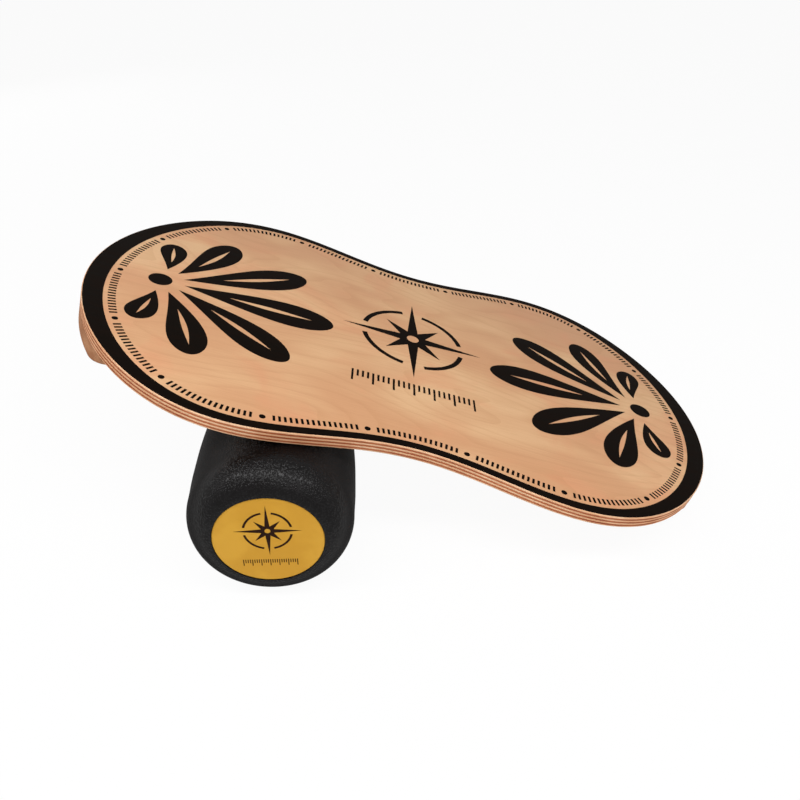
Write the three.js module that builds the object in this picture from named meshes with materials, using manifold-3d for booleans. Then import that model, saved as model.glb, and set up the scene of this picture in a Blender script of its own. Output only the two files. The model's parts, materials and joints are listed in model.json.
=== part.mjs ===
// A rola bola: a peanut-shaped plywood deck that lies tilted on a bone-shaped roller.
// Millimetres. +Z is up and the floor is z = 0. X runs along the deck, whose right end
// rests on the floor, and Y runs along the roller's axis. The origin is on the floor,
// under the middle of the whole object's box.
import * as THREE from 'three';
import { mergeVertices } from 'three/addons/utils/BufferGeometryUtils.js';
import Module from 'manifold-3d';

const manifoldLibrary = await Module();
manifoldLibrary.setup();

// Gap between pieces that touch, and the overrun of every cut
const seatGap = 0.3;
const cutOverrun = 2;

// Deck outline: an ellipse pinched at the waist by a bell curve
const deckLength = 740;
const endEllipseWidth = 604;
const waistWidth = 390;
const waistReach = 190;
const outlineSteps = 120;
const searchSteps = 40;

// Deck layers, counted from the top
const plyCount = 7;
const plyThickness = 1.6;
const deckEdgeRound = 1;
const deckRoundSteps = 2;

// End stops: end pieces of the deck's outline under each end
const stopWidth = 75;
const stopThickness = 18;
const stopCornerRound = 19;
const stopEdgeRound = 2;
const stopRoundSteps = 3;
const stopArcSteps = 36;
const stopCornerSteps = 6;

// Countersunk screws, driven up through the stops into the deck
const screwLength = 26;
const screwShankRadius = 2;
const screwTipLength = 3;
const screwHeadRadius = 4;
const screwHeadHeight = 2.6;
const screwHeadRim = 0.6;
const screwHeadSink = 0.8;
const screwSlotWidth = 0.9;
const screwSlotLength = 4.4;
const screwSlotDepth = 1.3;
const screwEdgeDistance = 28;
const screwPitch = 68;
const screwsPerStop = 4;
const screwSides = 12;

// Roller skin: a hollow moulding with a round knob at each end and a slimmer middle.
// From the end inwards: the rounded shoulder, a slight swell, the straight land that carries the
// deck, the long neck and the slim waist.
const rollerLength = 514;
const knobRadius = 82;
const shoulderLength = 34;
const swellRise = 1;
const swellLength = 34;
const landLength = 24;
const waistLength = 60;
const waistDepth = 6;
const skinWall = 6;
const rollerSides = 60;
const shoulderSteps = 6;
const innerShoulderSteps = 3;
const swellSteps = 3;
const neckSteps = 7;

// End discs, the plugs that carry them, and the tube inside
const discRadius = 53;
const discThickness = 1.6;
const discEdgeRound = 0.5;
const discSink = 0.6;
const lipWidth = 1.4;
const plugFlangeInset = 4;
const plugFlangeThickness = 2.2;
const plugSpigotLength = 16;
const plugWall = 3;
const tubeRadius = 37.5;
const tubeWall = 3;
const tubeSides = 36;

// Where the deck's middle lies, measured square to the roller from the line where the deck meets
// it, and the deck's turn about its own normal, away from square to the roller
const deckShift = 128.7;
const deckSwivel = THREE.MathUtils.degToRad(-2.8);

// Sizes that follow from the ones above
const halfLength = deckLength / 2;
const deckThickness = plyCount * plyThickness + (plyCount - 1) * seatGap;
const stopInnerX = halfLength - stopWidth;
const stopTopZ = -deckThickness - seatGap;
const stopBottomZ = stopTopZ - stopThickness;
const rollerHalf = rollerLength / 2;
const discSeatDepth = plugFlangeThickness + discThickness + 2 * seatGap + discSink;
const discSeatY = rollerHalf - discSeatDepth;
const tubeBoreRadius = tubeRadius - tubeWall;
const plugFlangeRadius = discRadius - plugFlangeInset;
const waistRadius = knobRadius - waistDepth;
const swellStartY = rollerHalf - shoulderLength;
const landStartY = swellStartY - swellLength;
const neckStartY = landStartY - landLength;
const neckEndY = waistLength / 2;

// Materials
const materials = {
  lightVeneer: new THREE.MeshStandardMaterial({ color: 0xd9b183, roughness: 0.5 }),
  darkVeneer: new THREE.MeshStandardMaterial({ color: 0x9a5f3c, roughness: 0.6 }),
  stopWood: new THREE.MeshStandardMaterial({ color: 0xb9835a, roughness: 0.55 }),
  screwSteel: new THREE.MeshStandardMaterial({ color: 0x9a9a9c, roughness: 0.35, metalness: 1 }),
  rollerSkin: new THREE.MeshStandardMaterial({ color: 0x1b1a1b, roughness: 0.6 }),
  tubePlastic: new THREE.MeshStandardMaterial({ color: 0x6f7275, roughness: 0.6 }),
  plugPlastic: new THREE.MeshStandardMaterial({ color: 0x232323, roughness: 0.55 }),
  discYellow: new THREE.MeshStandardMaterial({ color: 0xd6a238, roughness: 0.4 }),
};

// One closed solid from a geometry whose shared corners are merged
function solidOf(geometry) {
  const bare = geometry.clone();
  bare.deleteAttribute('normal');
  bare.deleteAttribute('uv');
  const merged = mergeVertices(bare);
  return new manifoldLibrary.Manifold(new manifoldLibrary.Mesh({
    numProp: 3,
    vertProperties: new Float32Array(merged.attributes.position.array),
    triVerts: new Uint32Array(merged.index.array),
  }));
}

// The other way round: a geometry from a solid
function geometryOf(solid) {
  const mesh = solid.getMesh();
  const geometry = new THREE.BufferGeometry();
  geometry.setAttribute('position', new THREE.BufferAttribute(mesh.vertProperties, 3));
  geometry.setIndex(new THREE.BufferAttribute(mesh.triVerts, 1));
  geometry.computeVertexNormals();
  return geometry;
}

function subtract(geometry, cutters) {
  let solid = solidOf(geometry);
  for (const cutter of cutters) {
    solid = solid.subtract(solidOf(cutter));
  }
  return geometryOf(solid);
}

function namedMesh(name, geometry, material) {
  const mesh = new THREE.Mesh(geometry, material);
  mesh.name = name;
  return mesh;
}

// Half width of the deck at a place along it
function halfWidthAt(x) {
  const pinch = (endEllipseWidth - waistWidth) / 2 * Math.exp(-((x / waistReach) ** 2));
  const ellipse = Math.sqrt(Math.max(0, 1 - (x / halfLength) ** 2));
  return (endEllipseWidth / 2 - pinch) * ellipse;
}

// Point of the outline at a turn angle, moved inwards by an inset
function outlinePoint(angle, inset) {
  const place = (turn) => {
    const x = halfLength * Math.cos(turn);
    const side = Math.sin(turn) < 0 ? -1 : 1;
    return new THREE.Vector2(x, side * halfWidthAt(x));
  };
  const probeShare = 1e-3;
  const here = place(angle);
  const along = place(angle + probeShare).sub(place(angle - probeShare)).normalize();
  return here.add(new THREE.Vector2(-along.y, along.x).multiplyScalar(inset));
}

function outlineRing(inset) {
  const points = [];
  for (let step = 0; step < outlineSteps; step += 1) {
    points.push(outlinePoint((step + 0.5) / outlineSteps * 2 * Math.PI, inset));
  }
  return points;
}

// Turn in the first quarter at which a condition on the outline stops being true
function turnAtEndOf(condition) {
  let low = 0;
  let high = Math.PI / 2;
  for (let halving = 0; halving < searchSteps; halving += 1) {
    const middle = (low + high) / 2;
    if (condition(middle)) {
      low = middle;
    } else {
      high = middle;
    }
  }
  return low;
}

// Ring of an end stop: the outline's round end, then a round corner on both sides, which lead to
// the straight inner edge
function stopRing(inset) {
  const middleX = stopInnerX + stopCornerRound;
  const end = turnAtEndOf((turn) => outlinePoint(turn, stopCornerRound).x > middleX);
  const arc = [];
  for (let step = 0; step < stopArcSteps; step += 1) {
    arc.push(outlinePoint(end * (2 * step / stopArcSteps - 1), inset));
  }
  const cornerMiddle = outlinePoint(end, stopCornerRound);
  const startAngle = outlinePoint(end, 0).sub(cornerMiddle).angle();
  const corner = [];
  for (let step = 0; step <= stopCornerSteps; step += 1) {
    const angle = THREE.MathUtils.lerp(startAngle, Math.PI, step / stopCornerSteps);
    const arm = new THREE.Vector2(Math.cos(angle), Math.sin(angle));
    corner.push(arm.multiplyScalar(stopCornerRound - inset).add(cornerMiddle));
  }
  const mirrored = corner.slice(1).reverse().map((point) => new THREE.Vector2(point.x, -point.y));
  return [...mirrored, ...arc, ...corner];
}

// A plate built from rings of equal count, lowest first, with round holes straight through it
function plateGeometry(rings, holes = []) {
  const corners = [];
  const faces = [];
  const starts = rings.map((ring) => {
    const start = corners.length;
    ring.points.forEach((point) => corners.push([point.x, point.y, ring.z]));
    return start;
  });
  const wall = (lowStart, highStart, count) => {
    for (let i = 0; i < count; i += 1) {
      const next = (i + 1) % count;
      faces.push([lowStart + i, lowStart + next, highStart + next]);
      faces.push([lowStart + i, highStart + next, highStart + i]);
    }
  };
  for (let level = 0; level + 1 < rings.length; level += 1) {
    wall(starts[level], starts[level + 1], rings[level].points.length);
  }
  const bottom = rings[0];
  const top = rings[rings.length - 1];
  const holeStarts = [bottom, top].map((ring) => holes.map((hole) => {
    const start = corners.length;
    hole.forEach((point) => corners.push([point.x, point.y, ring.z]));
    return start;
  }));
  holes.forEach((hole, index) => wall(holeStarts[0][index], holeStarts[1][index], hole.length));
  const cap = (ring, ringStart, capHoleStarts, upwards) => {
    const numbers = ring.points.map((_, i) => ringStart + i);
    holes.forEach((hole, index) => hole.forEach((_, i) => numbers.push(capHoleStarts[index] + i)));
    const holeRings = holes.map((hole) => [...hole]);
    for (const [a, b, c] of THREE.ShapeUtils.triangulateShape([...ring.points], holeRings)) {
      const face = [numbers[a], numbers[b], numbers[c]];
      faces.push(upwards ? face : face.reverse());
    }
  };
  cap(bottom, starts[0], holeStarts[0], false);
  cap(top, starts[starts.length - 1], holeStarts[1], true);
  const geometry = new THREE.BufferGeometry();
  geometry.setAttribute('position', new THREE.Float32BufferAttribute(corners.flat(), 3));
  geometry.setIndex(faces.flat());
  geometry.computeVertexNormals();
  return geometry;
}

// Rings that round an edge off, from the straight wall to the flat face
function roundedLevels(radius, steps) {
  const levels = [];
  for (let step = 0; step <= steps; step += 1) {
    const turn = step / steps * Math.PI / 2;
    levels.push({ inset: radius * (1 - Math.cos(turn)), rise: radius * Math.sin(turn) });
  }
  return levels;
}

// Places of the screws in the right-hand stop
function screwPlaces() {
  const places = [];
  for (let number = 0; number < screwsPerStop; number += 1) {
    const y = (number - (screwsPerStop - 1) / 2) * screwPitch;
    places.push(new THREE.Vector2(halfLength - screwEdgeDistance - screwSetback(y), y));
  }
  return places;
}

// How far the outline has drawn back from the tip at a place across the deck
function screwSetback(y) {
  const turn = turnAtEndOf((angle) => outlinePoint(angle, 0).y < Math.abs(y));
  return halfLength - outlinePoint(turn, 0).x;
}

function circle(centre, radius, sides) {
  const points = [];
  for (let side = 0; side < sides; side += 1) {
    const turn = -side / sides * 2 * Math.PI;
    const arm = new THREE.Vector2(Math.cos(turn), Math.sin(turn));
    points.push(arm.multiplyScalar(radius).add(centre));
  }
  return points;
}

// A turned solid about the Z axis, from a profile that runs from the lower end to the upper end
function turnedAboutZ(profile, sides) {
  const geometry = new THREE.LatheGeometry(profile.map(([r, z]) => new THREE.Vector2(r, z)), sides);
  return geometry.rotateX(Math.PI / 2);
}

const screwHeadZ = stopBottomZ + screwHeadSink;
const screwTipZ = screwHeadZ + screwLength;

// Countersunk screw with its point up, and a cross slot in its head
function screwGeometry() {
  const body = turnedAboutZ([
    [0, screwHeadZ],
    [screwHeadRadius, screwHeadZ],
    [screwHeadRadius, screwHeadZ + screwHeadRim],
    [screwShankRadius, screwHeadZ + screwHeadHeight],
    [screwShankRadius, screwTipZ - screwTipLength],
    [0, screwTipZ],
  ], screwSides);
  const slots = [0, Math.PI / 2].map((turn) => {
    const height = screwSlotDepth + cutOverrun;
    const slot = new THREE.BoxGeometry(screwSlotLength, screwSlotWidth, height);
    return slot.rotateZ(turn).translate(0, 0, screwHeadZ + screwSlotDepth - height / 2);
  });
  return subtract(body, slots);
}

// The space that a screw needs in the stop: its own shape plus the gap all round
function screwHoleCutter() {
  return turnedAboutZ([
    [0, stopBottomZ - cutOverrun],
    [screwHeadRadius + seatGap, stopBottomZ - cutOverrun],
    [screwHeadRadius + seatGap, screwHeadZ + screwHeadRim],
    [screwShankRadius + seatGap, screwHeadZ + screwHeadHeight],
    [screwShankRadius + seatGap, stopTopZ + cutOverrun],
    [0, stopTopZ + cutOverrun],
  ], screwSides);
}

// Both ends alike: the left one is the right one turned half round
const deckEnds = [
  { name: 'right', turn: 0 },
  { name: 'left', turn: Math.PI },
];

function buildPly(number) {
  const topZ = -(number - 1) * (plyThickness + seatGap);
  const bottomZ = topZ - plyThickness;
  const levels = roundedLevels(deckEdgeRound, deckRoundSteps);
  let rings = [{ inset: 0, z: bottomZ }, { inset: 0, z: topZ }];
  if (number === 1) {
    const startZ = topZ - deckEdgeRound;
    rings = [rings[0], ...levels.map(({ inset, rise }) => ({ inset, z: startZ + rise }))];
  }
  if (number === plyCount) {
    const startZ = bottomZ + deckEdgeRound;
    rings = [...levels.map(({ inset, rise }) => ({ inset, z: startZ - rise })).reverse(), rings[1]];
  }
  const holes = [];
  if (screwTipZ + seatGap > bottomZ) {
    for (const end of deckEnds) {
      for (const place of screwPlaces()) {
        const centre = place.clone().rotateAround(new THREE.Vector2(), end.turn);
        holes.push(circle(centre, screwShankRadius + seatGap, screwSides));
      }
    }
  }
  const material = number % 2 === 1 ? materials.lightVeneer : materials.darkVeneer;
  const placed = rings.map((ring) => ({ points: outlineRing(ring.inset), z: ring.z }));
  return namedMesh(`deck_ply_${number}`, plateGeometry(placed, holes), material);
}

function buildStop(end) {
  const group = new THREE.Group();
  const rings = roundedLevels(stopEdgeRound, stopRoundSteps).reverse().map((level) => ({
    points: stopRing(level.inset),
    z: stopBottomZ + stopEdgeRound - level.rise,
  }));
  rings.push({ points: stopRing(0), z: stopTopZ });
  const cutters = screwPlaces().map((place) => screwHoleCutter().translate(place.x, place.y, 0));
  const stopGeometry = subtract(plateGeometry(rings), cutters);
  group.add(namedMesh(`end_stop_${end.name}`, stopGeometry, materials.stopWood));
  screwPlaces().forEach((place, index) => {
    const screwName = `stop_screw_${end.name}_${index + 1}`;
    const screw = namedMesh(screwName, screwGeometry(), materials.screwSteel);
    screw.position.set(place.x, place.y, 0);
    group.add(screw);
  });
  group.rotation.z = end.turn;
  return group;
}

function buildDeck() {
  const deck = new THREE.Group();
  for (let number = 1; number <= plyCount; number += 1) {
    deck.add(buildPly(number));
  }
  deckEnds.forEach((end) => deck.add(buildStop(end)));
  return deck;
}

// Quarter-round shoulder from a flat end wall to a point of the side, without that last point
function shoulderPoints([startRadius, startY], [endRadius, endY], steps) {
  const points = [];
  for (let step = 0; step < steps; step += 1) {
    const turn = step / steps * Math.PI / 2;
    const radius = startRadius + (endRadius - startRadius) * Math.sin(turn);
    points.push([radius, startY + (endY - startY) * (1 - Math.cos(turn))]);
  }
  return points;
}

// Run from one point of the side to another, level at both
function easedPoints([startRadius, startY], [endRadius, endY], steps) {
  const points = [];
  for (let step = 0; step <= steps; step += 1) {
    const share = step / steps;
    const ease = (1 - Math.cos(Math.PI * share)) / 2;
    points.push([startRadius + (endRadius - startRadius) * ease, startY + (endY - startY) * share]);
  }
  return points;
}

// Profiles of the roller's rear half, from its end to the slim waist
const lipRadius = discRadius + seatGap + lipWidth;
const endWallInnerY = discSeatY - skinWall;

function rollerOuterHalf() {
  const swellStart = [knobRadius - swellRise, swellStartY];
  return [
    ...shoulderPoints([lipRadius, rollerHalf], swellStart, shoulderSteps),
    ...easedPoints(swellStart, [knobRadius, landStartY], swellSteps),
    ...easedPoints([knobRadius, neckStartY], [waistRadius, neckEndY], neckSteps),
  ];
}

function rollerInnerHalf() {
  const boreRadius = knobRadius - swellRise - skinWall;
  const boreStart = [boreRadius, swellStartY];
  return [
    ...shoulderPoints([lipRadius - skinWall, endWallInnerY], boreStart, innerShoulderSteps),
    boreStart,
    ...easedPoints([boreRadius, neckStartY], [waistRadius - skinWall, neckEndY], neckSteps),
  ];
}

function rollerSkinGeometry() {
  const mouthRadius = tubeRadius + seatGap;
  const half = [
    ...rollerInnerHalf().reverse(),
    [mouthRadius, endWallInnerY],
    [mouthRadius, discSeatY],
    [discRadius + seatGap, discSeatY],
    [discRadius + seatGap, rollerHalf],
    ...rollerOuterHalf(),
  ];
  const mirrored = [...half].reverse().map(([radius, y]) => [radius, -y]);
  const loop = [...half, ...mirrored, half[0]].reverse();
  return new THREE.LatheGeometry(loop.map(([r, y]) => new THREE.Vector2(r, y)), rollerSides);
}

function tubeGeometry() {
  const endY = discSeatY - seatGap;
  const loop = [
    [tubeBoreRadius, -endY],
    [tubeRadius, -endY],
    [tubeRadius, endY],
    [tubeBoreRadius, endY],
    [tubeBoreRadius, -endY],
  ];
  return new THREE.LatheGeometry(loop.map(([r, y]) => new THREE.Vector2(r, y)), tubeSides);
}

// Flanged plug: the flange lies on the skin's end wall and the hollow spigot enters the tube
function plugGeometry() {
  const flangeY = discSeatY + seatGap;
  const spigotRadius = tubeBoreRadius - seatGap;
  const spigotEndY = discSeatY - plugSpigotLength;
  const profile = [
    [0, flangeY - plugWall + plugFlangeThickness],
    [spigotRadius - plugWall, flangeY - plugWall + plugFlangeThickness],
    [spigotRadius - plugWall, spigotEndY],
    [spigotRadius, spigotEndY],
    [spigotRadius, flangeY],
    [plugFlangeRadius, flangeY],
    [plugFlangeRadius, flangeY + plugFlangeThickness],
    [0, flangeY + plugFlangeThickness],
  ];
  return new THREE.LatheGeometry(profile.map(([r, y]) => new THREE.Vector2(r, y)), tubeSides);
}

function discGeometry() {
  const backY = discSeatY + plugFlangeThickness + 2 * seatGap;
  const faceY = backY + discThickness;
  const profile = [
    [0, backY],
    [discRadius, backY],
    [discRadius, faceY - discEdgeRound],
    [discRadius - discEdgeRound, faceY],
    [0, faceY],
  ];
  return new THREE.LatheGeometry(profile.map(([r, y]) => new THREE.Vector2(r, y)), rollerSides);
}

// Roller about the Y axis through its own middle
function buildRoller() {
  const roller = new THREE.Group();
  roller.add(namedMesh('roller_skin', rollerSkinGeometry(), materials.rollerSkin));
  roller.add(namedMesh('core_tube', tubeGeometry(), materials.tubePlastic));
  const rollerEnds = [
    { name: 'rear', turn: 0 },
    { name: 'front', turn: Math.PI },
  ];
  for (const end of rollerEnds) {
    const group = new THREE.Group();
    group.add(namedMesh(`end_plug_${end.name}`, plugGeometry(), materials.plugPlastic));
    group.add(namedMesh(`end_disc_${end.name}`, discGeometry(), materials.discYellow));
    group.rotation.z = end.turn;
    roller.add(group);
  }
  return roller;
}

// The deck lies on the roller's knobs, and the floor touches the roller and the right stop's
// rounded lower edge: the tilt is that of the common tangent of those two circles
function restingTilt() {
  const deckMiddle = new THREE.Vector2();
  const reaches = stopRing(stopEdgeRound).map((point) => point.rotateAround(deckMiddle, deckSwivel).x);
  const along = Math.max(...reaches) + deckShift;
  const up = (stopBottomZ + stopEdgeRound) + (deckThickness + seatGap + knobRadius);
  const distance = Math.hypot(along, up);
  return Math.atan2(up, along) + Math.asin((knobRadius - stopEdgeRound) / distance);
}

function buildRolaBola() {
  const object = new THREE.Group();
  const roller = buildRoller();
  roller.position.set(0, 0, knobRadius);
  const deck = buildDeck();
  deck.position.set(deckShift, 0, knobRadius + seatGap + deckThickness);
  deck.rotation.z = deckSwivel;
  const tilted = new THREE.Group();
  tilted.add(deck);
  tilted.position.set(0, 0, knobRadius);
  tilted.rotation.y = restingTilt();
  object.add(roller, tilted);
  object.updateMatrixWorld(true);
  const box = new THREE.Box3().setFromObject(object, true);
  object.position.set(-(box.min.x + box.max.x) / 2, -(box.min.y + box.max.y) / 2, -box.min.z);
  return object;
}

export default buildRolaBola();
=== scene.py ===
"""The looks of a rola bola: a printed plywood deck that lies tilted on a bone-shaped roller.

Metres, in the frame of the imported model: +X square to the roller, +Y along it, +Z up.
"""

import json
import math

import bpy
from mathutils import Matrix, Vector
from mathutils.geometry import tessellate_polygon


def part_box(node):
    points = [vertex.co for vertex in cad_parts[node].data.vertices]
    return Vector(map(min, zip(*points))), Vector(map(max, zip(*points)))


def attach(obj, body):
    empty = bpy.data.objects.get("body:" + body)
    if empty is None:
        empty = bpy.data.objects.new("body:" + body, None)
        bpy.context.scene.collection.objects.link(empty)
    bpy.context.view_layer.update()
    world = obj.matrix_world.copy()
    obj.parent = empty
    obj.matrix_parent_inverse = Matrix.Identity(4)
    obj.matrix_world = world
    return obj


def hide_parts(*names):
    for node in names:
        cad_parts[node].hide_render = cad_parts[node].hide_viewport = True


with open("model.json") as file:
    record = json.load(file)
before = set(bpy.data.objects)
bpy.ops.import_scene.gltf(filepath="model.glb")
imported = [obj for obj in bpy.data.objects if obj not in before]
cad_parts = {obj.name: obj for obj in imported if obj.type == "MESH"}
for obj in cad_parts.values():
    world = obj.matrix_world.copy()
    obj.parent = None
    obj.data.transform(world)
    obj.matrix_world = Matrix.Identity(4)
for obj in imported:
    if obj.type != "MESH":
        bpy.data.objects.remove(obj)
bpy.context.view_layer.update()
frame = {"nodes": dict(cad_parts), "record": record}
mounts = {mount["name"]: mount for mount in frame["record"]["mounts"]}

# Gap between pieces that touch
SEAT_GAP = 0.0003

# Faces that meet at more than the crease angle keep a sharp edge between them
CREASE_DEGREES = 35
FLAT_FACE_DEGREES = 1

# Deck outline: an ellipse pinched at the waist by a bell curve
DECK_LENGTH = 0.740
END_ELLIPSE_WIDTH = 0.604
WAIST_WIDTH = 0.390
WAIST_REACH = 0.190
OUTLINE_STEPS = 360
DECK_HALF = DECK_LENGTH / 2

# Deck layers, counted from the top, and the glue that fills the gaps between them
PLY_COUNT = 7
PLY_THICKNESS = 0.0016
DECK_EDGE_ROUND = 0.001
DECK_ROUND_STEPS = 5
GLUE_INSET = 0.00025
GLUE_WIDTH = 0.006
GLUE_CLEARANCE = 0.00002
PLY_PITCH = PLY_THICKNESS + SEAT_GAP
DECK_THICKNESS = PLY_COUNT * PLY_PITCH - SEAT_GAP

# End stops: end pieces of the deck's outline under each end
STOP_WIDTH = 0.075
STOP_THICKNESS = 0.018
STOP_CORNER_ROUND = 0.019
STOP_EDGE_ROUND = 0.002
STOP_ROUND_STEPS = 6
STOP_ARC_STEPS = 96
STOP_CORNER_STEPS = 16
STOP_TOP_Z = -DECK_THICKNESS - SEAT_GAP
STOP_BOTTOM_Z = STOP_TOP_Z - STOP_THICKNESS
SEARCH_STEPS = 40
PROBE_TURN = 0.001

# Countersunk screws in the stops
SCREW_LENGTH = 0.026
SCREW_SHANK_RADIUS = 0.002
SCREW_HEAD_RADIUS = 0.004
SCREW_HEAD_HEIGHT = 0.0026
SCREW_HEAD_RIM = 0.0006
SCREW_HEAD_SINK = 0.0008
SCREW_EDGE_DISTANCE = 0.028
SCREW_PITCH = 0.068
SCREWS_PER_STOP = 4
HOLE_SIDES = 28
SCREW_HEAD_Z = STOP_BOTTOM_Z + SCREW_HEAD_SINK
SCREW_TIP_Z = SCREW_HEAD_Z + SCREW_LENGTH

# Printed ink on the deck's top
INK_THICKNESS = 0.0001
STRIPE_EDGE_INSET = 0.0009
STRIPE_WAIST_WIDTH = 0.0095
STRIPE_END_GAIN = 0.0115
STRIPE_GAIN_POWER = 3
BAND_GAP = 0.0048
TICK_LENGTH = 0.0080
TICK_WIDTH = 0.0026
TICK_PITCH = 0.0054
TICKS_PER_DOT = 19
DOT_RADIUS = 0.0032
DOT_SIDES = 20

# Fan of petals at each end of the deck, on both sides of its middle line
FAN_BASE_X = 0.296
FAN_DOT_RADIUS = 0.013
PETAL_START = 0.027
PETAL_STEPS = 32
PETALS = [
    {"turn": 0, "bend": 0, "length": 0.172, "width": 0.050},
    {"turn": 29, "bend": 8, "length": 0.158, "width": 0.047},
    {"turn": 58, "bend": 16, "length": 0.120, "width": 0.041},
    {"turn": 87, "bend": 20, "length": 0.066, "width": 0.031},
]
SLIT_START_SHARE = 0.25
SLIT_END_SHARE = 0.86
SLIT_WIDTH_SHARE = 0.14
ARC_STEPS = 64

# Compass mark in the middle of the deck, with a scale of ticks below it
COMPASS_CENTRE_Y = 0.022
COMPASS_QUARTERS = 4
COMPASS_LONG_TIP = 0.086
COMPASS_SHORT_TIP = 0.047
COMPASS_NOTCH = 0.017
COMPASS_EYE = 0.0075
COMPASS_ARC_INNER = 0.058
COMPASS_ARC_OUTER = 0.064
COMPASS_ARC_HALF_ANGLE = 33
SCALE_TOP_Y = -0.078
SCALE_TICKS = 25
SCALE_PITCH = 0.0058
SCALE_TICK_WIDTH = 0.0024
SCALE_LONG_TICK = 0.022
SCALE_SHORT_TICK = 0.0125
SCALE_LONG_EVERY = 4

# Roller skin, from the end inwards: shoulder, slight swell, straight land, neck and slim waist
SHOULDER_LENGTH = 0.034
SWELL_RISE = 0.001
SWELL_LENGTH = 0.034
LAND_LENGTH = 0.024
WAIST_LENGTH = 0.060
WAIST_DEPTH = 0.006
SKIN_WALL = 0.006
LIP_WIDTH = 0.0014
ROLLER_SIDES = 180
SHOULDER_STEPS = 28
INNER_SHOULDER_STEPS = 8
SWELL_STEPS = 10
NECK_STEPS = 24

# End discs, and the ink on them
DISC_EDGE_ROUND = 0.0005
DISC_MARK_SCALE_SHARE = 0.37
DISC_MARK_RISE = 0.004

# Frame of the deck's top: origin in its middle, X along the deck, Z out of its face
deck_up = Vector(mounts["deck_top"]["axis"]).normalized()
left_foot = Vector(mounts["left_stop_underside"]["pos_m"])
right_foot = Vector(mounts["right_stop_underside"]["pos_m"])
deck_across = deck_up.cross(right_foot - left_foot).normalized()
deck_along = deck_across.cross(deck_up)
DECK_FRAME = Matrix((deck_along, deck_across, deck_up)).transposed().to_4x4()
DECK_FRAME.translation = Vector(mounts["deck_top"]["pos_m"])

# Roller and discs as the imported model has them
roller_low, roller_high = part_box("roller_skin")
disc_low, disc_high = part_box("end_disc_rear")
tube_low, tube_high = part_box("core_tube")
ROLLER_CENTRE = (roller_low + roller_high) / 2
ROLLER_HALF = (roller_high.y - roller_low.y) / 2
KNOB_RADIUS = (roller_high.z - roller_low.z) / 2
DISC_RADIUS = (disc_high.z - disc_low.z) / 2
DISC_BACK = disc_low.y - ROLLER_CENTRE.y
DISC_FACE = disc_high.y - ROLLER_CENTRE.y
TUBE_RADIUS = (tube_high.z - tube_low.z) / 2
SEAT_Y = tube_high.y - ROLLER_CENTRE.y + SEAT_GAP
WAIST_RADIUS = KNOB_RADIUS - WAIST_DEPTH
SWELL_START_Y = ROLLER_HALF - SHOULDER_LENGTH
LAND_START_Y = SWELL_START_Y - SWELL_LENGTH
NECK_START_Y = LAND_START_Y - LAND_LENGTH
NECK_END_Y = WAIST_LENGTH / 2


def half_width(x):
    """Half the deck's width at a place along it."""
    pinch = (END_ELLIPSE_WIDTH - WAIST_WIDTH) / 2 * math.exp(-((x / WAIST_REACH) ** 2))
    ellipse = math.sqrt(max(0.0, 1 - (x / DECK_HALF) ** 2))
    return (END_ELLIPSE_WIDTH / 2 - pinch) * ellipse


def outline_point(turn, inset):
    """Point of the deck's outline, moved inwards by an inset."""
    def place(angle):
        x = DECK_HALF * math.cos(angle)
        side = -1 if math.sin(angle) < 0 else 1
        return Vector((x, side * half_width(x)))

    along = (place(turn + PROBE_TURN) - place(turn - PROBE_TURN)).normalized()
    return place(turn) + inset * Vector((-along.y, along.x))


def outline_ring(inset):
    """The whole outline; inset is a length, or a function of the place along the deck."""
    points = []
    for step in range(OUTLINE_STEPS):
        turn = (step + 0.5) / OUTLINE_STEPS * 2 * math.pi
        depth = inset(DECK_HALF * math.cos(turn)) if callable(inset) else inset
        points.append(outline_point(turn, depth))
    return points


def search(goes_up):
    """Turn in the first quarter at which goes_up stops being true."""
    low, high = 0.0, math.pi / 2
    for _ in range(SEARCH_STEPS):
        middle = (low + high) / 2
        if goes_up(middle):
            low = middle
        else:
            high = middle
    return low


def stop_ring(inset):
    """Ring of the right stop: the outline's round end, round corners, a straight inner edge."""
    middle_x = DECK_HALF - STOP_WIDTH + STOP_CORNER_ROUND
    end = search(lambda turn: outline_point(turn, STOP_CORNER_ROUND).x > middle_x)
    shares = [2 * step / STOP_ARC_STEPS - 1 for step in range(STOP_ARC_STEPS)]
    arc = [outline_point(end * share, inset) for share in shares]
    corner_middle = outline_point(end, STOP_CORNER_ROUND)
    start_arm = outline_point(end, 0) - corner_middle
    start = math.atan2(start_arm.y, start_arm.x)
    corner = []
    for step in range(STOP_CORNER_STEPS + 1):
        turn = start + (math.pi - start) * step / STOP_CORNER_STEPS
        arm = Vector((math.cos(turn), math.sin(turn)))
        corner.append(corner_middle + arm * (STOP_CORNER_ROUND - inset))
    mirrored = [Vector((p.x, -p.y)) for p in corner[:0:-1]]
    return mirrored + arc + corner


def screw_places():
    """Places of the screws in the right stop, level with its round edge."""
    places = []
    for number in range(SCREWS_PER_STOP):
        y = (number - (SCREWS_PER_STOP - 1) / 2) * SCREW_PITCH
        turn = search(lambda angle: outline_point(angle, 0).y < abs(y))
        places.append(Vector((outline_point(turn, 0).x - SCREW_EDGE_DISTANCE, y)))
    return places


def circle(centre, radius, sides):
    turns = [2 * math.pi * side / sides for side in range(sides)]
    return [centre + radius * Vector((math.cos(turn), math.sin(turn))) for turn in turns]


def rounded_levels(radius, steps):
    """Insets and rises that round an edge off, from the wall to the flat face."""
    turns = [step / steps * math.pi / 2 for step in range(steps + 1)]
    return [(radius * (1 - math.cos(turn)), radius * math.sin(turn)) for turn in turns]


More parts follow.
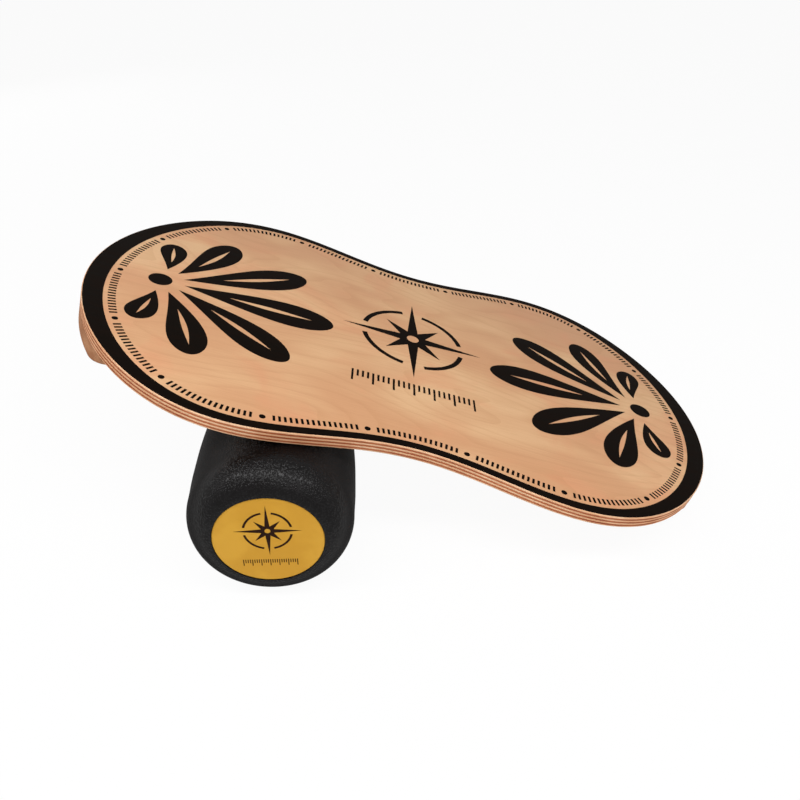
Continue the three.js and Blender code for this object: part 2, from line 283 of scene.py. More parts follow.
class Builder:
    """Corners and faces of one closed mesh."""

    def __init__(self):
        self.corners = []
        self.faces = []

    def loop(self, points, z):
        """Adds a flat loop at a height and returns its corner numbers."""
        first = len(self.corners)
        self.corners.extend(Vector((p.x, p.y, z)) for p in points)
        return list(range(first, len(self.corners)))

    def wall(self, low, high, inwards=False):
        for i, corner in enumerate(low):
            j = (i + 1) % len(low)
            face = (corner, low[j], high[j], high[i])
            self.faces.append(face[::-1] if inwards else face)

    def cap(self, outer, holes, upwards):
        numbers = outer + [number for hole in holes for number in hole]
        loops = [[self.corners[n] for n in loop] for loop in [outer, *holes]]
        for triangle in tessellate_polygon(loops):
            a, b, c = (numbers[i] for i in triangle)
            ab = self.corners[b] - self.corners[a]
            ac = self.corners[c] - self.corners[a]
            flat = ab.x * ac.y - ab.y * ac.x
            self.faces.append((a, b, c) if (flat > 0) == upwards else (a, c, b))

    def plate(self, rings, holes=()):
        """A closed plate from rings (points, z), lowest first; each hole is rings of its own."""
        outer = [self.loop(points, z) for points, z in rings]
        inner = [[self.loop(points, z) for points, z in hole] for hole in holes]
        for low, high in zip(outer, outer[1:]):
            self.wall(low, high)
        for hole in inner:
            for low, high in zip(hole, hole[1:]):
                self.wall(low, high, inwards=True)
        self.cap(outer[0], [hole[0] for hole in inner], upwards=False)
        self.cap(outer[-1], [hole[-1] for hole in inner], upwards=True)

    def slab(self, points, low_z, high_z, holes=()):
        """A flat plate with straight walls."""
        rings = [[(hole, low_z), (hole, high_z)] for hole in holes]
        self.plate([(points, low_z), (points, high_z)], rings)

    def band(self, outer, inner, low_z, high_z):
        """A flat closed band between two loops of equal count."""
        outer_low, outer_high = self.loop(outer, low_z), self.loop(outer, high_z)
        inner_low, inner_high = self.loop(inner, low_z), self.loop(inner, high_z)
        self.wall(outer_low, outer_high)
        self.wall(outer_high, inner_high)
        self.wall(inner_high, inner_low)
        self.wall(inner_low, outer_low)

    def turned(self, profile, sides, closed):
        """A solid turned about the Y axis, from a profile of (radius, y)."""
        rows = []
        for radius, y in profile:
            first = len(self.corners)
            count = sides if radius > 0 else 1
            for side in range(count):
                turn = 2 * math.pi * side / sides
                place = Vector((radius * math.sin(turn), y, radius * math.cos(turn)))
                self.corners.append(place)
            rows.append([first + side % count for side in range(sides)])
        pairs = list(zip(rows, rows[1:]))
        if closed:
            pairs.append((rows[-1], rows[0]))
        for one, other in pairs:
            for side in range(sides):
                after = (side + 1) % sides
                face = (one[side], one[after], other[after], other[side])
                kept = [n for i, n in enumerate(face) if n not in face[:i]]
                self.faces.append(tuple(kept))


def add_piece(name, builder, place, body, materials):
    """Makes an object of a builder's mesh that rides on a body."""
    mesh = bpy.data.meshes.new(name)
    mesh.from_pydata(builder.corners, [], builder.faces)
    for material in materials:
        mesh.materials.append(material)
    mesh.shade_smooth()
    mesh.set_sharp_from_angle(angle=math.radians(CREASE_DEGREES))
    mesh.validate()
    piece = bpy.data.objects.new(name, mesh)
    bpy.context.scene.collection.objects.link(piece)
    piece.matrix_world = place
    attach(piece, body)
    return piece


def half_round(points):
    """The same points turned half round the deck's middle."""
    return [Vector((-p.x, -p.y)) for p in points]


# How rough a noise is where its material doesn't say
NOISE_ROUGHNESS = 0.55

# The standard curve between screen values and light
SCREEN_KNEE = 0.04045
SCREEN_SLOPE = 12.92
SCREEN_OFFSET = 0.055
SCREEN_POWER = 2.4


class Nodes:
    """Short calls for a material's node tree."""

    def __init__(self, name):
        self.material = bpy.data.materials.new(name)
        self.material.use_nodes = True
        self.tree = self.material.node_tree
        self.shader = self.tree.nodes["Principled BSDF"]
        coordinates = self.tree.nodes.new("ShaderNodeTexCoord")
        self.position = coordinates.outputs["Object"]

    def join(self, source, socket):
        self.tree.links.new(source, socket)

    def put(self, socket, value):
        if isinstance(value, bpy.types.NodeSocket):
            self.join(value, socket)
        else:
            socket.default_value = value

    def stretched(self, stretch):
        """The object's coordinates times a stretch for each axis."""
        node = self.tree.nodes.new("ShaderNodeVectorMath")
        node.operation = "MULTIPLY"
        self.join(self.position, node.inputs[0])
        node.inputs[1].default_value = stretch
        return node.outputs[0]

    def noise(self, stretch, detail, roughness=NOISE_ROUGHNESS, distortion=0.0):
        """An even noise around one half."""
        node = self.tree.nodes.new("ShaderNodeTexNoise")
        self.join(self.stretched(stretch), node.inputs["Vector"])
        node.inputs["Scale"].default_value = 1.0
        node.inputs["Detail"].default_value = detail
        node.inputs["Roughness"].default_value = roughness
        node.inputs["Distortion"].default_value = distortion
        return node.outputs["Fac"]

    def rings(self, count, **noise):
        """Growth rings: a noise that starts again from 0 so many times on its way to 1."""
        return self.math("FRACT", self.math("MULTIPLY", self.noise(**noise), count))

    def cells(self, stretch):
        """Distance from the middle of the nearest cell."""
        node = self.tree.nodes.new("ShaderNodeTexVoronoi")
        node.feature = "F1"
        self.join(self.stretched(stretch), node.inputs["Vector"])
        node.inputs["Scale"].default_value = 1.0
        return node.outputs["Distance"]

    def rim(self):
        """0 where the surface is seen straight on, 1 where it is seen edge on."""
        return self.tree.nodes.new("ShaderNodeLayerWeight").outputs["Facing"]

    def pattern(self, kind="noise", **settings):
        """A pattern by its kind and settings, as a recipe names them."""
        kinds = {"noise": self.noise, "rings": self.rings, "cells": self.cells, "rim": self.rim}
        return kinds[kind](**settings)

    def remap(self, value, start, full, low, high):
        """Runs softly from low to high while the value goes from start to full."""
        node = self.tree.nodes.new("ShaderNodeMapRange")
        node.interpolation_type = "SMOOTHSTEP"
        self.join(value, node.inputs["Value"])
        node.inputs["From Min"].default_value = start
        node.inputs["From Max"].default_value = full
        node.inputs["To Min"].default_value = low
        node.inputs["To Max"].default_value = high
        return node.outputs["Result"]

    def mix(self, factor, first, second):
        node = self.tree.nodes.new("ShaderNodeMix")
        node.data_type = "RGBA"
        sockets = {socket.identifier: socket for socket in [*node.inputs, *node.outputs]}
        self.put(sockets["Factor_Float"], factor)
        self.put(sockets["A_Color"], first)
        self.put(sockets["B_Color"], second)
        return sockets["Result_Color"]

    def math(self, operation, *values):
        node = self.tree.nodes.new("ShaderNodeMath")
        node.operation = operation
        for socket, value in zip(node.inputs, values):
            self.put(socket, value)
        return node.outputs[0]

    def bump(self, height, depth, strength, normal):
        node = self.tree.nodes.new("ShaderNodeBump")
        node.inputs["Strength"].default_value = strength
        node.inputs["Distance"].default_value = depth
        self.join(height, node.inputs["Height"])
        if normal is not None:
            self.join(normal, node.inputs["Normal"])
        return node.outputs["Normal"]

    def finish(self, sockets):
        for name, value in sockets.items():
            self.put(self.shader.inputs[name], value)
        return self.material


def colour(red, green, blue):
    """A linear colour from screen values between 0 and 255."""
    def linear(value):
        share = value / 255
        if share <= SCREEN_KNEE:
            return share / SCREEN_SLOPE
        return ((share + SCREEN_OFFSET) / (1 + SCREEN_OFFSET)) ** SCREEN_POWER

    return (linear(red), linear(green), linear(blue), 1.0)


# Materials: a ground colour, and patterns that say where tints, gloss and relief go.
# A pattern's stretch counts its features for each metre along X, Y and Z. Where a pattern goes
# from start to full, a tint's cover, a roughness or a height goes from low to high.

# Varnished face veneer: soft clouds, lengthwise fibres, fine pores and a faint ripple
FACE_VENEER = {
    "ground": (205, 154, 114),
    "patterns": {
        "clouds": {"stretch": (5, 9, 9), "detail": 2, "distortion": 0.4},
        "blush": {"stretch": (9, 13, 13), "detail": 3, "distortion": 0.8},
        "rings": {"kind": "rings", "count": 34, "stretch": (1.3, 4.6, 4.6), "detail": 2.4,
                  "roughness": 0.45},
        "fibres": {"stretch": (22, 520, 520), "detail": 4, "roughness": 0.6},
        "pores": {"stretch": (230, 2100, 2100), "detail": 1},
    },
    "tints": [
        {"colour": (221, 180, 137), "pattern": "clouds", "start": 0.36, "full": 0.66},
        {"colour": (213, 149, 111), "pattern": "blush", "start": 0.46, "full": 0.72, "high": 0.6},
        {"colour": (188, 136, 94), "pattern": "rings", "start": 0.0, "full": 0.4,
         "low": 0.22, "high": 0.0},
        {"colour": (190, 138, 98), "pattern": "fibres", "start": 0.42, "full": 0.7, "high": 0.24},
        {"colour": (150, 100, 66), "pattern": "pores", "start": 0.66, "full": 0.78, "high": 0.22},
    ],
    "roughness": {"pattern": "clouds", "start": 0.3, "full": 0.7, "low": 0.44, "high": 0.52},
    "relief": [{"depth": 0.00004, "strength": 0.5, "pattern": "fibres"}],
    "sockets": {"Specular IOR Level": 0.12},
}

# Reddish brown solid wood of the stops, with long fibres across the deck
STOP_WOOD = {
    "ground": (160, 110, 78),
    "patterns": {
        "clouds": {"stretch": (40, 14, 40), "detail": 3, "distortion": 0.5},
        "fibres": {"stretch": (900, 30, 900), "detail": 5, "roughness": 0.6},
        "pores": {"stretch": (2400, 240, 2400), "detail": 1},
        "rim": {"kind": "rim"},
    },
    "tints": [
        {"colour": (188, 138, 102), "pattern": "clouds", "start": 0.35, "full": 0.66},
        {"colour": (144, 94, 62), "pattern": "fibres", "start": 0.42, "full": 0.66, "high": 0.45},
        {"colour": (112, 70, 44), "pattern": "pores", "start": 0.64, "full": 0.78, "high": 0.4},
    ],
    "roughness": {"pattern": "rim", "start": 0.25, "full": 0.7, "low": 0.45, "high": 0.9},
    "relief": [{"depth": 0.00006, "strength": 0.6, "pattern": "fibres"}],
    "sockets": {"Specular IOR Level": 0.1},
}

GLUE = {
    "ground": (96, 58, 38),
    "patterns": {"patches": {"stretch": (60, 60, 60), "detail": 3}},
    "tints": [{"colour": (148, 98, 66), "pattern": "patches"}],
    "roughness": 0.55,
}

# Black moulded plastic with a fine pebble grain and faint handling marks; its gloss fades
# towards the rim, where the pebbles hide one another
ROLLER_SKIN = {
    "ground": (5, 3, 3),
    "patterns": {
        "pebbles": {"kind": "cells", "stretch": (560, 560, 560)},
        "fine": {"stretch": (1500, 1500, 1500), "detail": 2},
        "marks": {"stretch": (18, 18, 18), "detail": 4, "distortion": 0.5},
        "rim": {"kind": "rim"},
    },
    "tints": [{"colour": (8, 6, 6), "pattern": "marks", "start": 0.4, "full": 0.7}],
    "roughness": {"pattern": "rim", "start": 0.25, "full": 0.7, "low": 0.22, "high": 0.85},
    "relief": [
        {"depth": 0.00003, "strength": 0.4, "pattern": "fine"},
        {"depth": 0.00034, "strength": 1.0, "pattern": "pebbles", "start": 0.0, "full": 0.7,
         "low": 1.0, "high": 0.0},
    ],
    "sockets": {"Specular IOR Level": 0.14},
}

# Mustard yellow sheet with a satin face
DISC_SHEET = {
    "ground": (203, 150, 48),
    "patterns": {
        "patches": {"stretch": (22, 22, 22), "detail": 3},
        "fine": {"stretch": (700, 700, 700), "detail": 3},
    },
    "tints": [{"colour": (212, 160, 56), "pattern": "patches", "start": 0.38, "full": 0.66}],
    "roughness": {"pattern": "patches", "start": 0.35, "full": 0.7, "low": 0.42, "high": 0.5},
    "relief": [{"depth": 0.00002, "strength": 0.5, "pattern": "fine"}],
    "sockets": {"Specular IOR Level": 0.1},
}

# Zinc-plated steel with turning marks
SCREW_STEEL = {
    "ground": (150, 150, 152),
    "patterns": {"marks": {"stretch": (900, 900, 900), "detail": 3}},
    "tints": [{"colour": (196, 195, 190), "pattern": "marks"}],
    "roughness": {"pattern": "marks", "start": 0.3, "full": 0.7, "low": 0.28, "high": 0.44},
    "sockets": {"Metallic": 1.0},
}


def ply_edge(pale, deep, streak):
    """Sanded edge of one ply: streaks along the layer and patches where the grain turns."""
    return {
        "ground": pale,
        "patterns": {
            "patches": {"stretch": (24, 24, 60), "detail": 3, "distortion": 0.4},
            "streaks": {"stretch": (90, 90, 2600), "detail": 4},
            "fibres": {"stretch": (620, 620, 1500), "detail": 2},
            "rim": {"kind": "rim"},
        },
        "tints": [
            {"colour": deep, "pattern": "patches", "start": 0.36, "full": 0.66},
            {"colour": streak, "pattern": "streaks", "start": 0.45, "full": 0.7, "high": 0.55},
            {"colour": streak, "pattern": "fibres", "start": 0.6, "full": 0.8, "high": 0.3},
        ],
        "roughness": {"pattern": "rim", "start": 0.25, "full": 0.7, "low": 0.5, "high": 0.9},
        "relief": [{"depth": 0.00006, "strength": 0.6, "pattern": "streaks"}],
        "sockets": {"Specular IOR Level": 0.1},
    }


def printed_ink(dark, worn):
    """Screen-printed ink: a slightly uneven film with the ground's grain pressed through it."""
    return {
        "ground": dark,
        "patterns": {
            "film": {"stretch": (30, 120, 120), "detail": 4},
            "grain": {"stretch": (120, 1500, 1500), "detail": 2},
        },
        "tints": [{"colour": worn, "pattern": "film", "start": 0.4, "full": 0.7}],
        "roughness": {"pattern": "film", "start": 0.35, "full": 0.7, "low": 0.48, "high": 0.6},
        "relief": [{"depth": 0.00003, "strength": 0.5, "pattern": "grain"}],
        "sockets": {"Specular IOR Level": 0.01},
    }


def moulded_plastic(dark, light):
    """Plain moulded plastic with a light flow pattern."""
    return {
        "ground": dark,
        "patterns": {
            "flow": {"stretch": (30, 30, 30), "detail": 3, "distortion": 0.8},
            "fine": {"stretch": (900, 900, 900), "detail": 2},
        },
        "tints": [{"colour": light, "pattern": "flow", "start": 0.35, "full": 0.7}],
        "roughness": 0.5,
        "relief": [{"depth": 0.00003, "strength": 0.4, "pattern": "fine"}],
    }


def build_material(name, recipe):
    """Builds a material's nodes from its recipe."""
    nodes = Nodes(name)
    patterns = {key: nodes.pattern(**settings) for key, settings in recipe["patterns"].items()}

    def read(row):
        """The pattern of a row, remapped if the row says from where to where."""
        value = patterns[row["pattern"]]
        if "start" not in row:
            return value
        low, high = row.get("low", 0.0), row.get("high", 1.0)
        return nodes.remap(value, row["start"], row["full"], low, high)

    sockets = dict(recipe.get("sockets", {}))
    base = colour(*recipe["ground"])
    for row in recipe["tints"]:
        base = nodes.mix(read(row), base, colour(*row["colour"]))
    sockets["Base Color"] = base
    roughness = recipe["roughness"]
    sockets["Roughness"] = read(roughness) if isinstance(roughness, dict) else roughness
    for row in recipe.get("relief", []):
        sockets["Normal"] = nodes.bump(read(row), row["depth"], row["strength"], sockets.get("Normal"))
    return nodes.finish(sockets)


face_veneer = build_material("face_veneer", FACE_VENEER)
light_edge = build_material(
    "light_ply_edge", ply_edge((232, 190, 154), (216, 164, 124), (192, 132, 94)))
dark_edge = build_material(
    "dark_ply_edge", ply_edge((184, 108, 70), (156, 82, 52), (122, 62, 40)))
stop_wood = build_material("stop_wood", STOP_WOOD)
glue = build_material("glue_line", GLUE)
deck_ink = build_material("deck_ink", printed_ink((12, 7, 4), (18, 11, 7)))
disc_ink = build_material("disc_ink", printed_ink((42, 27, 20), (50, 33, 25)))
roller_black = build_material("roller_skin_grained", ROLLER_SKIN)
disc_sheet = build_material("disc_yellow", DISC_SHEET)
tube_grey = build_material("tube_grey", moulded_plastic((104, 107, 110), (122, 125, 127)))
plug_black = build_material("plug_black", moulded_plastic((28, 28, 28), (38, 38, 37)))
screw_steel = build_material("screw_steel", SCREW_STEEL)


# Deck

def straight_hole(centre, radius, levels):
    return [(circle(centre, radius, HOLE_SIDES), z) for z in levels]


def build_ply(number):
    """One ply; the outer two have a rounded edge, and the lower ones the screws' holes."""
    top_z = -(number - 1) * PLY_PITCH
    bottom_z = top_z - PLY_THICKNESS
    rings = [(0.0, bottom_z), (0.0, top_z)]
    levels = rounded_levels(DECK_EDGE_ROUND, DECK_ROUND_STEPS)
    if number == 1:
        start = top_z - DECK_EDGE_ROUND
        rings = [rings[0], *((inset, start + rise) for inset, rise in levels)]
    if number == PLY_COUNT:
        start = bottom_z + DECK_EDGE_ROUND
        rings = [*((inset, start - rise) for inset, rise in levels[::-1]), rings[1]]
    holes = []
    if SCREW_TIP_Z + SEAT_GAP > bottom_z:
        radius = SCREW_SHANK_RADIUS + SEAT_GAP
        for place in screw_places():
            for centre in (place, -place):
                holes.append(straight_hole(centre, radius, (bottom_z, top_z)))
    builder = Builder()
    builder.plate([(outline_ring(inset), z) for inset, z in rings], holes)
    light = number % 2 == 1
    edge = light_edge if light else dark_edge
    piece = add_piece(f"veneer_{number}", builder, DECK_FRAME, "deck", [edge, face_veneer])
    for polygon in piece.data.polygons:
        if abs(polygon.normal.z) > math.cos(math.radians(FLAT_FACE_DEGREES)):
            polygon.material_index = 1
    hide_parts(f"deck_ply_{number}")


def build_glue_lines():
    """Cured glue that fills the gap between two plies, just inside the deck's edge."""
    builder = Builder()
    outer = outline_ring(GLUE_INSET)
    inner = outline_ring(GLUE_INSET + GLUE_WIDTH)
    for number in range(1, PLY_COUNT):
        top_z = -number * PLY_PITCH + SEAT_GAP
        builder.band(outer, inner, top_z - SEAT_GAP + GLUE_CLEARANCE, top_z - GLUE_CLEARANCE)
    add_piece("glue_lines", builder, DECK_FRAME, "deck", [glue])


def build_stop(end, turned):
    """End stop with a rounded lower edge and countersunk holes."""
    levels = rounded_levels(STOP_EDGE_ROUND, STOP_ROUND_STEPS)[::-1]
    start = STOP_BOTTOM_Z + STOP_EDGE_ROUND
    rings = [(stop_ring(inset), start - rise) for inset, rise in levels]
    rings.append((stop_ring(0), STOP_TOP_Z))
    head = SCREW_HEAD_RADIUS + SEAT_GAP
    shank = SCREW_SHANK_RADIUS + SEAT_GAP
    sizes = [
        (head, STOP_BOTTOM_Z),
        (head, SCREW_HEAD_Z + SCREW_HEAD_RIM),
        (shank, SCREW_HEAD_Z + SCREW_HEAD_HEIGHT),
        (shank, STOP_TOP_Z),
    ]
    places = screw_places()
    holes = [[(circle(place, radius, HOLE_SIDES), z) for radius, z in sizes] for place in places]
    if turned:
        rings = [(half_round(points), z) for points, z in rings]
        holes = [[(half_round(points), z) for points, z in hole] for hole in holes]
    builder = Builder()
    builder.plate(rings, holes)
    piece = add_piece(f"stop_block_{end}", builder, DECK_FRAME, "deck", [stop_wood])
    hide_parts(f"end_stop_{end}")


# Printed ink

def ink_piece(name, shapes, place, body, ink):
    """A thin printed film from flat shapes (outer loop, holes), that lies on the face z = 0."""
    builder = Builder()
    for outer, holes in shapes:
        builder.slab(outer, 0.0, INK_THICKNESS, holes)
    return add_piece(name, builder, place, body, [ink])


def stripe_width(x):
    return STRIPE_WAIST_WIDTH + STRIPE_END_GAIN * abs(x / DECK_HALF) ** STRIPE_GAIN_POWER


def build_stripe():
    """Plain stripe along the deck's edge, wider at both ends."""
    builder = Builder()
    outer = outline_ring(STRIPE_EDGE_INSET)
    inner = outline_ring(lambda x: STRIPE_EDGE_INSET + stripe_width(x))
    builder.band(outer, inner, 0.0, INK_THICKNESS)
    add_piece("print_stripe", builder, DECK_FRAME, "deck", [deck_ink])


def even_places(points, pitch, group):
    """Even places along a closed loop, in whole groups, each with the loop's direction there."""
    sides = [b - a for a, b in zip(points, points[1:] + points[:1])]
    total = sum(side.length for side in sides)
    count = group * round(total / (pitch * group))
    places = []
    index, passed = 0, 0.0
    for number in range(count):
        goal = number * total / count
        while passed + sides[index].length < goal:
            passed += sides[index].length
            index += 1
        along = sides[index].normalized()
        places.append((points[index] + along * (goal - passed), along))
    return places


def bar(middle, along, width, length):
    """A small rectangle whose length lies square to the direction along."""
    across = Vector((-along.y, along.x))
    side, reach = along * width / 2, across * length / 2
    low, high = middle - reach, middle + reach
    return [low - side, low + side, high + side, high - side]


def build_tick_band():
    """Row of ticks inside the stripe, with a dot now and then."""
    middle_inset = STRIPE_EDGE_INSET + BAND_GAP + TICK_LENGTH / 2
    line = outline_ring(lambda x: middle_inset + stripe_width(x))
    shapes = []
    for number, (place, along) in enumerate(even_places(line, TICK_PITCH, TICKS_PER_DOT)):
        phase = number % TICKS_PER_DOT
        if phase == 0:
            shapes.append((circle(place, DOT_RADIUS, DOT_SIDES), []))
        elif phase not in (1, TICKS_PER_DOT - 1):
            shapes.append((bar(place, along, TICK_WIDTH, TICK_LENGTH), []))
    ink_piece("print_tick_band", shapes, DECK_FRAME, "deck", deck_ink)


def ribbon(line, reach):
    """A loop around a line of (share, place, heading); reach gives its half width at a share."""
    left, right = [], []
    for share, place, heading in line:
        across = Vector((-math.sin(heading), math.cos(heading))) * reach(share)
        left.append(place + across)
        right.append(place - across)
    return right + left[-2:0:-1]


def petal(base, facing, bend, length, width):
    """A bent petal, pointed at its base and round at its tip, and the slit along its middle."""
    place = base + PETAL_START * Vector((math.cos(facing), math.sin(facing)))
    line = []
    last_share = 0.0
    for step in range(PETAL_STEPS + 1):
        share = math.sin(step / PETAL_STEPS * math.pi / 2)
        heading = facing + bend * share
        place = place + (share - last_share) * length * Vector((math.cos(heading), math.sin(heading)))
        line.append((share, place, heading))
        last_share = share
    slit_line = [row for row in line if SLIT_START_SHARE <= row[0] <= SLIT_END_SHARE]
    first, last = slit_line[0][0], slit_line[-1][0]

    def petal_reach(share):
        return width / 2 * math.sqrt(max(0.0, math.sin(math.pi * share ** 2)))

    def slit_reach(share):
        return width / 2 * SLIT_WIDTH_SHARE * math.sin(math.pi * (share - first) / (last - first))

    return ribbon(line, petal_reach), [ribbon(slit_line, slit_reach)]


def build_fan(end, facing):
    """Petals that spread from one end of the deck towards its middle."""
    base = FAN_BASE_X * Vector((math.cos(facing), math.sin(facing)))
    inwards = facing + math.pi
    shapes = [(circle(base, FAN_DOT_RADIUS, ARC_STEPS), [])]
    for row in PETALS:
        for side in (1, -1) if row["turn"] else (1,):
            turn = inwards + side * math.radians(row["turn"])
            bend = side * math.radians(row["bend"])
            shapes.append(petal(base, turn, bend, row["length"], row["width"]))
    ink_piece(f"print_fan_{end}", shapes, DECK_FRAME, "deck", deck_ink)


def compass_shapes():
    """Eight-pointed star with a round eye, broken ring and a scale of ticks."""
    centre = Vector((0.0, COMPASS_CENTRE_Y))
    tips = [COMPASS_LONG_TIP, COMPASS_NOTCH, COMPASS_SHORT_TIP, COMPASS_NOTCH]
    star = []
    points = COMPASS_QUARTERS * len(tips)
    for number in range(points):
        turn = 2 * math.pi * number / points
        arm = Vector((math.cos(turn), math.sin(turn)))
        star.append(centre + arm * tips[number % len(tips)])
    shapes = [(star, [circle(centre, COMPASS_EYE, ARC_STEPS)])]
    half_angle = math.radians(COMPASS_ARC_HALF_ANGLE)
    for quarter in range(COMPASS_QUARTERS):
        facing = 2 * math.pi * (quarter + 0.5) / COMPASS_QUARTERS
        turns = [facing + half_angle * (2 * step / ARC_STEPS - 1) for step in range(ARC_STEPS + 1)]
        arms = [Vector((math.cos(turn), math.sin(turn))) for turn in turns]
        outer = [centre + arm * COMPASS_ARC_OUTER for arm in arms]
        inner = [centre + arm * COMPASS_ARC_INNER for arm in arms]
        shapes.append((outer + inner[::-1], []))
    for number in range(SCALE_TICKS):
        x = (number - (SCALE_TICKS - 1) / 2) * SCALE_PITCH
        length = SCALE_SHORT_TICK if number % SCALE_LONG_EVERY else SCALE_LONG_TICK
        middle = Vector((x, SCALE_TOP_Y - length / 2))
        shapes.append((bar(middle, Vector((1, 0)), SCALE_TICK_WIDTH, length), []))
    return shapes


def disc_shapes():
    """The compass at a smaller scale."""
    shapes = []
    for outer, holes in compass_shapes():
        loops = []
        for loop in [outer, *holes]:
            loops.append([p * DISC_MARK_SCALE_SHARE + Vector((0, DISC_MARK_RISE)) for p in loop])
        shapes.append((loops[0], loops[1:]))
    return shapes


# Roller

def shoulder_points(start, end, steps):
    """Quarter-round shoulder between two points (radius, y), without the last one."""
    points = []
    for step in range(steps):
        turn = step / steps * math.pi / 2
        radius = start[0] + (end[0] - start[0]) * math.sin(turn)
        points.append((radius, start[1] + (end[1] - start[1]) * (1 - math.cos(turn))))
    return points


def eased_points(start, end, steps):
    """Run between two points (radius, y), level at both."""
    points = []
    for step in range(steps + 1):
        share = step / steps
        ease = (1 - math.cos(math.pi * share)) / 2
        points.append((start[0] + (end[0] - start[0]) * ease, start[1] + (end[1] - start[1]) * share))
    return points


def build_skin():
    """Hollow moulding with an even wall, and a seat for the disc in each end."""
    lip_radius = DISC_RADIUS + SEAT_GAP + LIP_WIDTH
    bore_radius = KNOB_RADIUS - SWELL_RISE - SKIN_WALL
    mouth_radius = TUBE_RADIUS + SEAT_GAP
    seat_radius = DISC_RADIUS + SEAT_GAP
    wall_y = SEAT_Y - SKIN_WALL
    swell_start = (KNOB_RADIUS - SWELL_RISE, SWELL_START_Y)
    bore_start = (bore_radius, SWELL_START_Y)
    neck_end = (WAIST_RADIUS, NECK_END_Y)
    bore_end = (WAIST_RADIUS - SKIN_WALL, NECK_END_Y)
    inner = [
        *shoulder_points((lip_radius - SKIN_WALL, wall_y), bore_start, INNER_SHOULDER_STEPS),
        bore_start,
        *eased_points((bore_radius, NECK_START_Y), bore_end, NECK_STEPS),
    ]
    half = [
        *inner[::-1],
        (mouth_radius, wall_y),
        (mouth_radius, SEAT_Y),
        (seat_radius, SEAT_Y),
        (seat_radius, ROLLER_HALF),
        *shoulder_points((lip_radius, ROLLER_HALF), swell_start, SHOULDER_STEPS),
        *eased_points(swell_start, (KNOB_RADIUS, LAND_START_Y), SWELL_STEPS),
        *eased_points((KNOB_RADIUS, NECK_START_Y), neck_end, NECK_STEPS),
    ]
    profile = [(radius, -y) for radius, y in half] + half[::-1]
    builder = Builder()
    builder.turned(profile, ROLLER_SIDES, closed=True)
    place = Matrix.Translation(ROLLER_CENTRE)
    piece = add_piece("roller_moulding", builder, place, "roller", [roller_black])
    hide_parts("roller_skin")


def build_disc(end, turn):
    """Yellow disc with a rounded rim, and the ink on its face."""
    builder = Builder()
    builder.turned([
        (0.0, DISC_BACK),
        (DISC_RADIUS, DISC_BACK),
        (DISC_RADIUS, DISC_FACE - DISC_EDGE_ROUND),
        (DISC_RADIUS - DISC_EDGE_ROUND, DISC_FACE),
        (0.0, DISC_FACE),
    ], ROLLER_SIDES, closed=False)
    place = Matrix.Translation(ROLLER_CENTRE) @ Matrix.Rotation(turn, 4, "Z")
    piece = add_piece(f"disc_sheet_{end}", builder, place, "roller", [disc_sheet])
    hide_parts(f"end_disc_{end}")
    upright = Matrix(((-1, 0, 0), (0, 0, 1), (0, 1, 0))).to_4x4()
    face = place @ Matrix.Translation((0, DISC_FACE, 0)) @ upright
    ink_piece(f"print_disc_{end}", disc_shapes(), face, "roller", disc_ink)


def dress_hidden_nodes():
    """Finishes for the nodes that keep their own mesh."""
    finishes = {"core_tube": tube_grey, "end_plug": plug_black, "stop_screw": screw_steel}
    for name, node in frame["nodes"].items():
        for start, material in finishes.items():
            if name.startswith(start):
                node.data.materials.clear()
                node.data.materials.append(material)


for number in range(1, PLY_COUNT + 1):
    build_ply(number)
build_glue_lines()
for end, turned in (("right", False), ("left", True)):
    build_stop(end, turned)
build_stripe()
build_tick_band()
build_fan("right", 0.0)
build_fan("left", math.pi)
ink_piece("print_compass", compass_shapes(), DECK_FRAME, "deck", deck_ink)
build_skin()
build_disc("rear", 0.0)
build_disc("front", math.pi)
dress_hidden_nodes()

# Floor, lights and camera
WHITE = (1.0, 1.0, 1.0, 1.0)
FLOOR_SIZE = 24.0
FLOOR_DROP = 0.0002
CAMERA_PLACE = Vector((-0.05578, -0.7977, 0.61651))
CAMERA_ELEVATION = 34.732
CAMERA_AZIMUTH = 3.290
CAMERA_ROLL = 0.997
CAMERA_LENS = 35.59
CAMERA_SENSOR = 36.0
WORLD_STRENGTH = 0.11
BACKDROP_STRENGTH = 1.0
FLOOR_TONE = 0.9
FLOOR_ROUGHNESS = 0.9
FLOOR_GLOW_SHARE = 0.95
LAMP_TARGET = Vector((-0.05, -0.05, 0.1))
LAMPS = [
    {"name": "lamp_strip", "place": (-0.1, -0.72, 1.42), "width": 3.6, "depth": 0.25, "power": 35},
    {"name": "lamp_front", "place": (0.5, -1.6, 1.0), "width": 1.2, "depth": 1.2, "power": 5.5},
    {"name": "lamp_left", "place": (-1.7, -0.95, 0.7), "width": 0.7, "depth": 0.7, "power": 1},
    {"name": "lamp_right", "place": (1.8, -0.75, 0.75), "width": 0.7, "depth": 0.7, "power": 0.8},
    {"name": "lamp_rear", "place": (-1.2, 1.5, 0.8), "width": 1.2, "depth": 1.2, "power": 7},
]


def showing_rays(tree):
    """1 for the rays that show what they meet: camera, glossy and transmission rays."""
    path = tree.nodes.new("ShaderNodeLightPath")
    share = path.outputs["Is Camera Ray"]
    for ray in ("Is Glossy Ray", "Is Transmission Ray"):
        node = tree.nodes.new("ShaderNodeMath")
        node.operation = "MAXIMUM"
        tree.links.new(share, node.inputs[0])
        tree.links.new(path.outputs[ray], node.inputs[1])
        share = node.outputs[0]
    return share


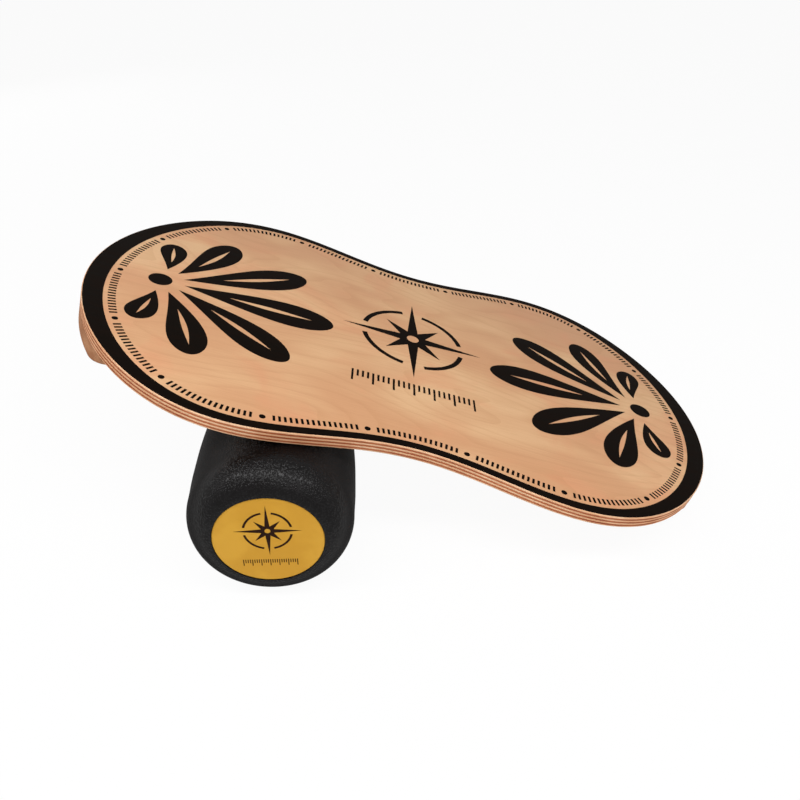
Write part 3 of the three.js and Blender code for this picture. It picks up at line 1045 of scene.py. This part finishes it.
def build_floor():
    """Pale floor that keeps the object's shadow and reads as white where it is lit."""
    floor = Nodes("floor_white")
    tree = floor.tree
    floor.finish({
        "Base Color": (FLOOR_TONE, FLOOR_TONE, FLOOR_TONE, 1.0),
        "Roughness": FLOOR_ROUGHNESS,
        "Specular IOR Level": 0.0,
    })
    glow = tree.nodes.new("ShaderNodeEmission")
    glow.inputs["Color"].default_value = WHITE
    blend = tree.nodes.new("ShaderNodeMixShader")
    share = floor.math("MULTIPLY", showing_rays(tree), FLOOR_GLOW_SHARE)
    floor.join(share, blend.inputs["Fac"])
    floor.join(floor.shader.outputs[0], blend.inputs[1])
    floor.join(glow.outputs[0], blend.inputs[2])
    floor.join(blend.outputs[0], tree.nodes["Material Output"].inputs["Surface"])
    half = FLOOR_SIZE / 2
    mesh = bpy.data.meshes.new("floor")
    corners = [(-half, -half, -FLOOR_DROP), (half, -half, -FLOOR_DROP)]
    corners += [(half, half, -FLOOR_DROP), (-half, half, -FLOOR_DROP)]
    mesh.from_pydata(corners, [], [(0, 1, 2, 3)])
    mesh.materials.append(floor.material)
    piece = bpy.data.objects.new("floor", mesh)
    bpy.context.scene.collection.objects.link(piece)


def build_world():
    """Even pale light, and a white background that camera and reflections show."""
    world = bpy.data.worlds.new("studio")
    bpy.context.scene.world = world
    world.use_nodes = True
    tree = world.node_tree
    light = tree.nodes["Background"]
    light.inputs["Color"].default_value = WHITE
    light.inputs["Strength"].default_value = WORLD_STRENGTH
    backdrop = tree.nodes.new("ShaderNodeBackground")
    backdrop.inputs["Color"].default_value = WHITE
    backdrop.inputs["Strength"].default_value = BACKDROP_STRENGTH
    blend = tree.nodes.new("ShaderNodeMixShader")
    tree.links.new(showing_rays(tree), blend.inputs["Fac"])
    tree.links.new(light.outputs[0], blend.inputs[1])
    tree.links.new(backdrop.outputs[0], blend.inputs[2])
    tree.links.new(blend.outputs[0], tree.nodes["World Output"].inputs["Surface"])


def build_lamp(name, place, width, depth, power):
    """A soft lamp that faces the object, its width along the picture."""
    data = bpy.data.lights.new(name, "AREA")
    data.shape = "RECTANGLE"
    data.size = width
    data.size_y = depth
    data.energy = power
    lamp = bpy.data.objects.new(name, data)
    lamp.location = place
    lamp.rotation_mode = "QUATERNION"
    lamp.rotation_quaternion = (LAMP_TARGET - Vector(place)).to_track_quat("-Z", "Y")
    bpy.context.scene.collection.objects.link(lamp)


def build_camera():
    """Camera at the photograph's place, looking along its own line of sight."""
    data = bpy.data.cameras.new("camera")
    data.lens = CAMERA_LENS
    data.sensor_width = CAMERA_SENSOR
    camera = bpy.data.objects.new("camera", data)
    bpy.context.scene.collection.objects.link(camera)
    azimuth, elevation = math.radians(CAMERA_AZIMUTH), math.radians(CAMERA_ELEVATION)
    level = math.cos(elevation)
    sight = Vector((math.sin(azimuth) * level, math.cos(azimuth) * level, -math.sin(elevation)))
    aim = sight.to_track_quat("-Z", "Y").to_matrix().to_4x4()
    roll = Matrix.Rotation(math.radians(CAMERA_ROLL), 4, "Z")
    camera.matrix_world = Matrix.Translation(CAMERA_PLACE) @ aim @ roll
    bpy.context.scene.camera = camera


build_floor()
build_world()
for lamp in LAMPS:
    build_lamp(**lamp)
build_camera()
bpy.context.scene.view_settings.view_transform = "Standard"

bpy.context.view_layer.update()
